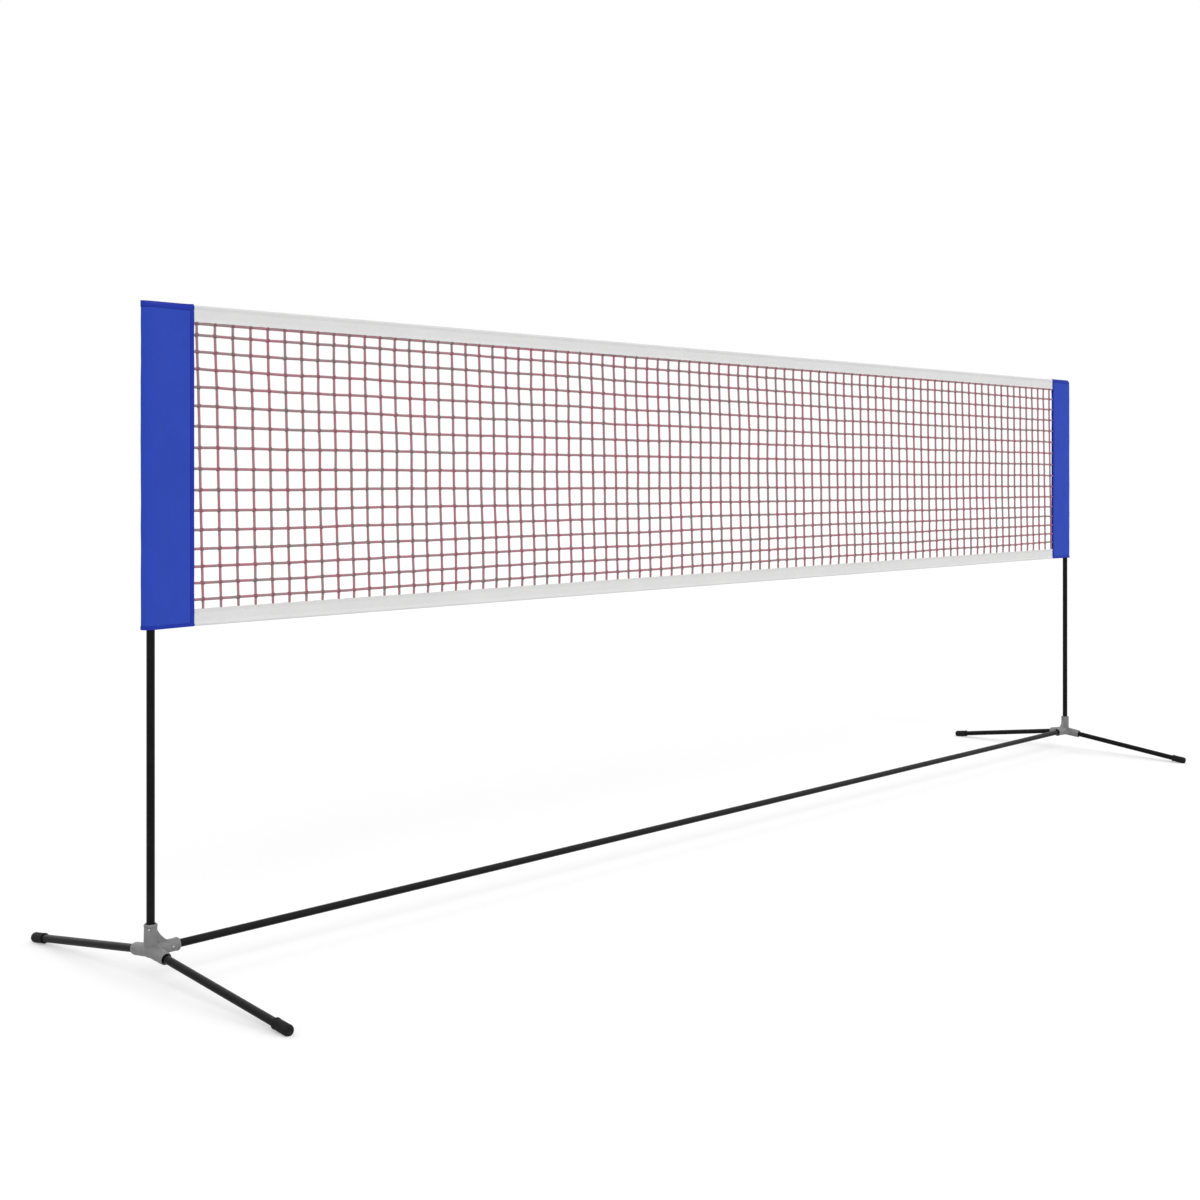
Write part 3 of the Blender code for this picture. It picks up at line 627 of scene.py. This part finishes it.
# How the tape moves off flat: it bellies between its stitches, puckers along them, sways along
# the net and dips a little between the upright twines.
belly_depth = 0.0004
belly_scale = (18, 30)
tape_pucker = 0.00014
tape_puckers = 600
pucker_drift = 3
drift_scale = 40
sway_depths = (0.0014, 0.0005)
sway_scales = (7, 29)
scallop_depth = 0.0004


def eased(share):
    """Smoothly from 0 to 1."""
    share = min(max(share, 0.0), 1.0)
    return share * share * (3 - 2 * share)


def tape_point(along, around, proud, seed):
    """Where the tape lies under a height of 0: down the front, over the cord and down the back."""
    if around < tape_leg:
        side, down = -1, cord_fold + tape_leg - around
    elif around > tape_leg + fold_turn:
        side, down = 1, cord_fold + around - tape_leg - fold_turn
    else:
        side, down = 0, 0.0
    low = max(down - cord_fold, 0.0) / tape_leg
    if side == 0:
        angle = (around - tape_leg) / cord_fold
        y = -(cord_fold + proud) * math.cos(angle)
        z = -cord_fold + (cord_fold + proud) * math.sin(angle)
    else:
        closing = eased((down - cord_fold) / pinch_reach)
        opening = eased((down - tape_width + mouth_start) / mouth_reach)
        half = cord_fold + (tape_pinch - cord_fold) * closing
        half += (tape_mouth - tape_pinch) * opening
        in_belly = Vector((along * belly_scale[0], down * belly_scale[1], seed + side))
        belly = noise.noise(in_belly) * belly_depth * low
        drift = pucker_drift * noise.noise(Vector((along * drift_scale, 2, seed)))
        pucker = math.sin(along * tape_puckers + drift) * tape_pucker
        y = side * (half + proud + belly + pucker * closing)
        z = -down
    squeeze = eased((abs(along) - tape_end + end_squeeze) / end_squeeze)
    y *= 1 - end_flattening * squeeze
    z -= end_drop * squeeze * (1 - low)
    sway = noise.noise(Vector((along * sway_scales[0], seed, 0))) * sway_depths[0]
    sway += noise.noise(Vector((along * sway_scales[1], seed, 4))) * sway_depths[1]
    scallop = math.cos(2 * math.pi * along / mesh_cell) * scallop_depth * low ** 2
    return Vector((along, y + sway * low * (1 - squeeze), z + scallop))


white_tape = woven("white_woven_tape", white, white_pitch, 0.88, 0.04, 0.03)
white_thread = thread("white_thread", thread_white, 0.65)
tape_stitch_pitch = 0.0062
tape_stitch = 0.0047
tape_surface = tape_thickness * 0.55
cord_row = 0.0112
mouth_row = 0.0075

for edge, height, flip, seed in (("top", tape_high.z, 1, 3.0), ("bottom", sleeve_low.z, -1, 17.0)):
    to_edge = Matrix.Translation((0, 0, height)) @ Matrix.Diagonal((1, 1, flip, 1))
    bm = bmesh.new()
    lay_cloth(
        bm, 2 * tape_end, tape_girth, tape_steps,
        lambda s, t: tape_point(s, t, 0.0, seed), start=-tape_end,
    )
    tape = finished(f"{edge}_edge_tape", bm, white_tape, to_edge)
    thicken(tape, tape_thickness)
    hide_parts(f"{edge}_band")

    pairs = []
    for row in (mouth_row, tape_width - cord_row):
        for around in (row, tape_girth - row):
            for index in range(int(2 * net_end / tape_stitch_pitch)):
                first = index * tape_stitch_pitch - net_end
                ends = (first, first + tape_stitch)
                pairs.append([tape_point(end, around, tape_surface, seed) for end in ends])
    bm = stitches_between(pairs, tape_stitch, stitch_thickness)
    stitches = finished(f"{edge}_tape_stitches", bm, white_thread, to_edge)
dress(white_thread, "top_band_cord", "bottom_band_cord")


# Netting: square mesh of laid polyester twine, maroon mottled with grey-brown, knotted at each
# crossing. The ends of its twines are caught in the tapes and in the inner seams of the sleeves.
twine_radius = 0.0033
net_top = tape_high.z - tape_width
net_bottom = sleeve_low.z + tape_width
edge_column = 0.0170
half_columns = net_end - edge_column
column_count = round(2 * half_columns / mesh_cell)
column_lean = 0.016
row_count = 15
edge_drop = 0.0026

# How far the first and last rows lie below the top tape, and how far the rows between them sag
# and crowd together, each at the left end of the net and then at its right end.
first_row = (0.0280, 0.0425)
last_row = (0.6440, 0.6360)
row_sag = (0.004, 0.020)
row_wave = (0.012, 0.007)

# How far a knot strays from its place, slowly along the net and from knot to knot, and how far
# the twine bows between two knots.
slow_stray = 0.0022
slow_scale = (3, 5)
quick_stray = 0.0011
quick_scale = (61, 57)
twine_bow = 0.0006
bow_scale = 47
bow_lean = (1, 0.7, 1)
edge_stray = 0.001
edge_scale = 9

# Where a twine goes into a tape or a seam: how deep, how thin it is pinched there, and how far
# out it has its whole thickness again.
caught = 0.005
tucked = (0.35, 0.70)
square_end = 0.003


def strayed(x, z, scale, seeds):
    """Noise between -1 and 1 along each axis, that changes with the place in the net."""
    return Vector([noise.noise(Vector((x * scale[0], z * scale[1], seed))) for seed in seeds])


def crossing(column, row):
    """Where a column's and a row's twines meet: the net sags and leans a little off its grid."""
    along = column / column_count
    level = row / (row_count - 1)
    first, last, sag, wave = (
        left + (right - left) * along
        for left, right in (first_row, last_row, row_sag, row_wave)
    )
    x = half_columns * (2 * along - 1) + column_lean * (level - 0.5)
    drop = sag * math.sin(math.pi * level) - wave * math.sin(2 * math.pi * level)
    z = net_top - first - (last - first) * level - drop
    slow = strayed(x, z, slow_scale, (1, 5, 9)) * slow_stray
    quick = strayed(x, z, quick_scale, (2, 6, 11)) * quick_stray
    return Vector((x, 0, z)) + slow + quick


def with_slack(points):
    """Add a midpoint to each stretch, off the straight line by a hair."""
    run = [points[0]]
    for first, second in zip(points, points[1:]):
        middle = (first + second) / 2
        bow = noise.noise(middle * bow_scale) * twine_bow
        run += [middle + Vector(bow_lean) * bow, second]
    return run


columns = [
    [crossing(column, row) for row in range(row_count)]
    for column in range(column_count + 1)
]
twines = []
for knots in columns:
    above = [Vector((knots[0].x, 0, net_top + over)) for over in (caught, -square_end)]
    below = [Vector((knots[-1].x, 0, net_bottom - over)) for over in (-square_end, caught)]
    twines.append(with_slack([*above, *knots, *below]))
for row in range(row_count):
    knots = [column[row] for column in columns]
    before = [Vector((-net_end - over, 0, knots[0].z)) for over in (caught, -square_end)]
    after = [Vector((net_end + over, 0, knots[-1].z)) for over in (-square_end, caught)]
    twines.append(with_slack([*before, *knots, *after]))
edge_height = net_top - edge_drop
edge_line = [Vector((-net_end - caught, 0, edge_height))]
for knots in columns:
    stray = noise.noise(Vector((knots[0].x * edge_scale, edge_height, 3))) * edge_stray
    edge_line.append(Vector((knots[0].x, stray, edge_height)))
edge_line.append(Vector((net_end + caught, 0, edge_height)))
twines.append(with_slack(edge_line))

path = bpy.data.curves.new("twine_lines", "CURVE")
path.dimensions = "3D"
path.bevel_depth = twine_radius
path.bevel_resolution = 2
path.use_fill_caps = True
for run in twines:
    spline = path.splines.new("POLY")
    spline.points.add(len(run) - 1)
    for point, place in zip(spline.points, run):
        point.co = (*place, 1)
    for index, share in enumerate(tucked):
        spline.points[index].radius = spline.points[-1 - index].radius = share
carrier = bpy.data.objects.new("twine_lines", path)
scene.collection.objects.link(carrier)
bpy.context.view_layer.update()
solid_twines = carrier.evaluated_get(bpy.context.evaluated_depsgraph_get())
tube_mesh = bpy.data.meshes.new_from_object(solid_twines)
bpy.data.objects.remove(carrier)
bm = bmesh.new()
bm.from_mesh(tube_mesh)

twine_maroon = (0.500, 0.195, 0.245)
twine_grey = (0.340, 0.268, 0.266)
# The colour of the painted shade in the grooves between the twine's strands.
twine_groove_shade = (0.180, 0.092, 0.104)
lay_pitch = 0.0060
lay_strands = 4
lay_depth = 0.0005
patch_scale = 26.0
runs_across = 31
runs_along = 2.5
fibre_scale = 1400.0
fibre_share = 0.35
grey_from = 1.06
grey_to = 1.34
most_groove_shade = 0.45


def laid_twine(name, shade):
    """Laid twine, maroon with runs of grey-brown and painted shade in its grooves, all scaled by
    shade.
    """
    finish, tree, shader = new_finish(name, 0.85)
    metres = coordinates(tree)
    patch = speckle(tree, metres, patch_scale, 4.0, 0.65)
    upright_run = speckle(tree, coordinates(tree, (runs_across, 1, runs_along)), 1.0, 2.0)
    level_run = speckle(tree, coordinates(tree, (runs_along, 1, runs_across)), 1.0, 2.0)
    runs = calculated(tree, "MULTIPLY", calculated(tree, "ADD", upright_run, level_run), 0.5)
    fibre = speckle(tree, metres, fibre_scale, 3.0, 0.6)
    fibre = calculated(tree, "MULTIPLY", fibre, fibre_share)
    mottle = calculated(tree, "ADD", calculated(tree, "ADD", patch, runs), fibre)
    greyed = spread(tree, mottle, grey_from, grey_to)
    ground = mixed(tree, greyed, shaded(twine_maroon, shade), shaded(twine_grey, shade))
    place = axes_of(tree, metres)
    travel = calculated(tree, "ADD", place["X"], place["Z"])
    travel = calculated(tree, "MULTIPLY", travel, math.pi / lay_pitch)
    round_twine = axes_of(tree, coordinates(tree, kind="UV"))["X"]
    wrap = calculated(tree, "MULTIPLY", round_twine, math.pi * lay_strands)
    waves = []
    for operation in ("ADD", "SUBTRACT"):
        phase = calculated(tree, operation, wrap, travel)
        waves.append(calculated(tree, "ABSOLUTE", calculated(tree, "SINE", phase)))
    lay = calculated(tree, "MULTIPLY", *waves)
    # Painted shade: the grooves between the strands are darkened towards a deep maroon.
    painted_groove_shade = spread(tree, lay, 0.0, 0.35, most_groove_shade, 0.0)
    paint(tree, shader, mixed(tree, painted_groove_shade, ground, shaded(twine_groove_shade, shade)))
    shader.inputs["Specular IOR Level"].default_value = 0.2
    shader.inputs["Sheen Weight"].default_value = 0.1
    roughen(tree, shader, lay, lay_depth, 0.8)
    return finish


twine_finish = laid_twine("maroon_twine", 1.0)
netting = finished("netting_twines", bm, twine_finish)
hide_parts("netting")


# Knots: at each crossing the level twine takes a turn round the upright one and is pulled down
# hard, which leaves a slanted lump about twice as wide as the twine. Painted shade makes it darker.
knot_radius = 0.0054
turn_radius = 0.0027
turn_reach = 0.8
knot_painted_shade = 0.65
knot_lean = 0.7
lean_variety = 0.5
lean_share = 0.6
edge_knot_lean = 0.5
pattern = bmesh.new()
bmesh.ops.create_uvsphere(pattern, u_segments=8, v_segments=5, radius=knot_radius)
ring = bmesh.ops.create_circle(pattern, segments=4, radius=turn_radius)["verts"]
upright = Matrix.Rotation(math.pi / 2, 3, "X")
bmesh.ops.rotate(pattern, cent=(0, 0, 0), matrix=upright, verts=ring)
bmesh.ops.translate(pattern, vec=(knot_radius * turn_reach, 0, 0), verts=ring)
ring_edges = [edge for edge in pattern.edges if edge.verts[0] in ring]
bmesh.ops.spin(
    pattern, geom=ring_edges, cent=(0, 0, 0), axis=(0, 0, 1), angle=2 * math.pi, steps=8,
    use_merge=True,
)
places = []
for column, knots in enumerate(columns):
    for row, place in enumerate(knots):
        lean = knot_lean if (column + row) % 2 else -knot_lean
        lean += noise.noise(place * 71) * lean_variety
        turn = Matrix.Rotation(lean, 4, "Y") @ Matrix.Rotation(lean * lean_share, 4, "X")
        places.append(Matrix.Translation(place) @ turn)
for place in edge_line[1:-1]:
    places.append(Matrix.Translation(place) @ Matrix.Rotation(edge_knot_lean, 4, "Y"))
# The knots' finish is the twine's, darkened all over as painted shade.
knot_shaded_finish = laid_twine("maroon_twine_painted_shade", knot_painted_shade)
knot_piece = finished("netting_knots", copies(pattern, places), knot_shaded_finish)
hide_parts("netting")


# Studio: a pale floor that keeps a soft shadow, white round about, and three broad soft lights.
# The floor is lifted towards white for the camera alone, so it throws no more light upwards.
floor_half = 60.0
floor_grey = (0.80, 0.80, 0.80, 1.0)
floor_lift = 0.27
around_light = 0.55
bm = bmesh.new()
bmesh.ops.create_grid(bm, x_segments=1, y_segments=1, size=floor_half)
floor_mesh = bpy.data.meshes.new("floor")
bm.to_mesh(floor_mesh)
bm.free()
floor_finish, tree, shader = new_finish("pale_floor", 1.0)
shader.inputs["Base Color"].default_value = floor_grey
shader.inputs["Specular IOR Level"].default_value = 0.0
ray = tree.nodes.new("ShaderNodeLightPath")
lift = tree.nodes.new("ShaderNodeEmission")
lift.inputs["Color"].default_value = (1, 1, 1, 1)
lifted = calculated(tree, "MULTIPLY", ray.outputs["Is Camera Ray"], floor_lift)
tree.links.new(lifted, lift.inputs["Strength"])
both = tree.nodes.new("ShaderNodeAddShader")
tree.links.new(shader.outputs["BSDF"], both.inputs[0])
tree.links.new(lift.outputs["Emission"], both.inputs[1])
tree.links.new(both.outputs["Shader"], tree.nodes["Material Output"].inputs["Surface"])
floor_mesh.materials.append(floor_finish)
floor = bpy.data.objects.new("floor", floor_mesh)
scene.collection.objects.link(floor)

sky = bpy.data.worlds.new("studio")
scene.world = sky
sky.use_nodes = True
tree = sky.node_tree
background = tree.nodes["Background"]
background.inputs["Color"].default_value = (1, 1, 1, 1)
ray = tree.nodes.new("ShaderNodeLightPath")
seen = calculated(tree, "MAXIMUM", ray.outputs["Is Camera Ray"], ray.outputs["Is Glossy Ray"])
seen = calculated(tree, "MAXIMUM", seen, ray.outputs["Is Transmission Ray"])
tree.links.new(spread(tree, seen, 0.0, 1.0, around_light, 1.0), background.inputs["Strength"])

for name, place, strength, softness in (
    ("key_light", (-4.0, -6.0, 5.5), 1.10, 35.0),
    ("fill_light", (5.0, -5.0, 4.0), 0.50, 60.0),
    ("back_light", (0.5, 6.0, 6.0), 0.60, 60.0),
):
    light = bpy.data.lights.new(name, "SUN")
    light.energy = strength
    light.angle = math.radians(softness)
    lamp = bpy.data.objects.new(name, light)
    lamp.location = place
    lamp.rotation_euler = (-Vector(place)).to_track_quat("-Z", "Y").to_euler()
    scene.collection.objects.link(lamp)

scene.view_settings.view_transform = "Standard"
